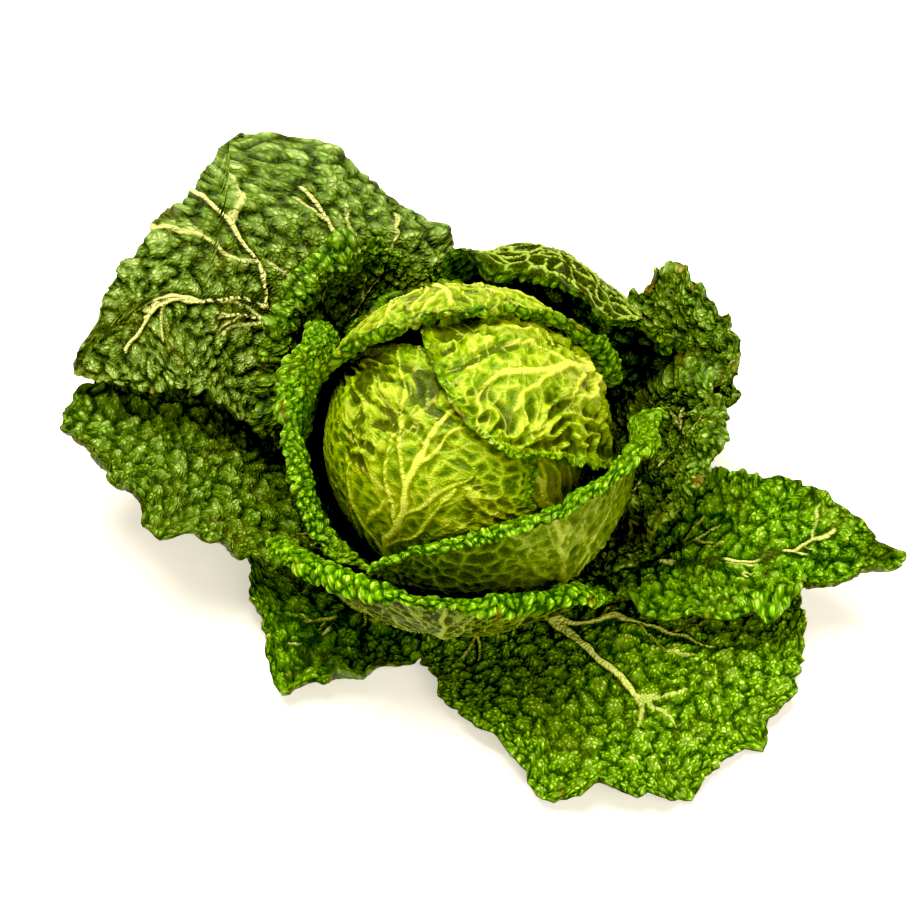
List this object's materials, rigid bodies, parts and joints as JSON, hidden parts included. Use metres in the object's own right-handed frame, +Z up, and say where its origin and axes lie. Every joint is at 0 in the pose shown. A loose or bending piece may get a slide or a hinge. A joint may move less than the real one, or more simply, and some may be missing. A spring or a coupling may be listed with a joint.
{
  "type": "savoy cabbage",
  "caption": "Savoy cabbage with a round crinkled head wrapped in cupped leaves and a rosette of loose blistered outer leaves, resting on its cut stem.",
  "frame": {"origin": "centre of the flat cut face of the stem, on which the cabbage rests", "axes": "+Z up; the head leans towards -Y, which is the side it is mostly seen from; +X to the right seen from there"},
  "size_m": [0.4248, 0.3432, 0.1832],
  "materials": {
    "heart_leaves": "pale yellow-green, tightly packed crinkled leaf",
    "head_leaf": "yellow-green crinkled leaf with raised pale veins, slightly waxy",
    "wrapper_leaf": "fresh green blistered leaf, satin",
    "outer_leaf": "dark green blistered leaf with pale yellow veins, satin",
    "stem": "cream, freshly cut, matt"
  },
  "bodies": {
    "root": {"cut_stem": "stem", "heart": "heart_leaves", "head_leaf_inner": "head_leaf", "head_leaf_left": "head_leaf", "head_leaf_right": "head_leaf", "head_leaf_hood": "head_leaf", "wrapper_leaf_right": "wrapper_leaf", "wrapper_leaf_left": "wrapper_leaf", "wrapper_leaf_front": "wrapper_leaf", "wrapper_leaf_back": "wrapper_leaf", "outer_leaf_upright": "outer_leaf", "outer_leaf_back": "outer_leaf", "outer_leaf_back_right": "outer_leaf", "outer_leaf_back_left": "outer_leaf", "outer_leaf_far_left": "outer_leaf", "outer_leaf_left": "outer_leaf", "outer_leaf_front_left": "outer_leaf", "outer_leaf_right": "outer_leaf", "outer_leaf_floor": "outer_leaf"}
  },
  "joints": []
}
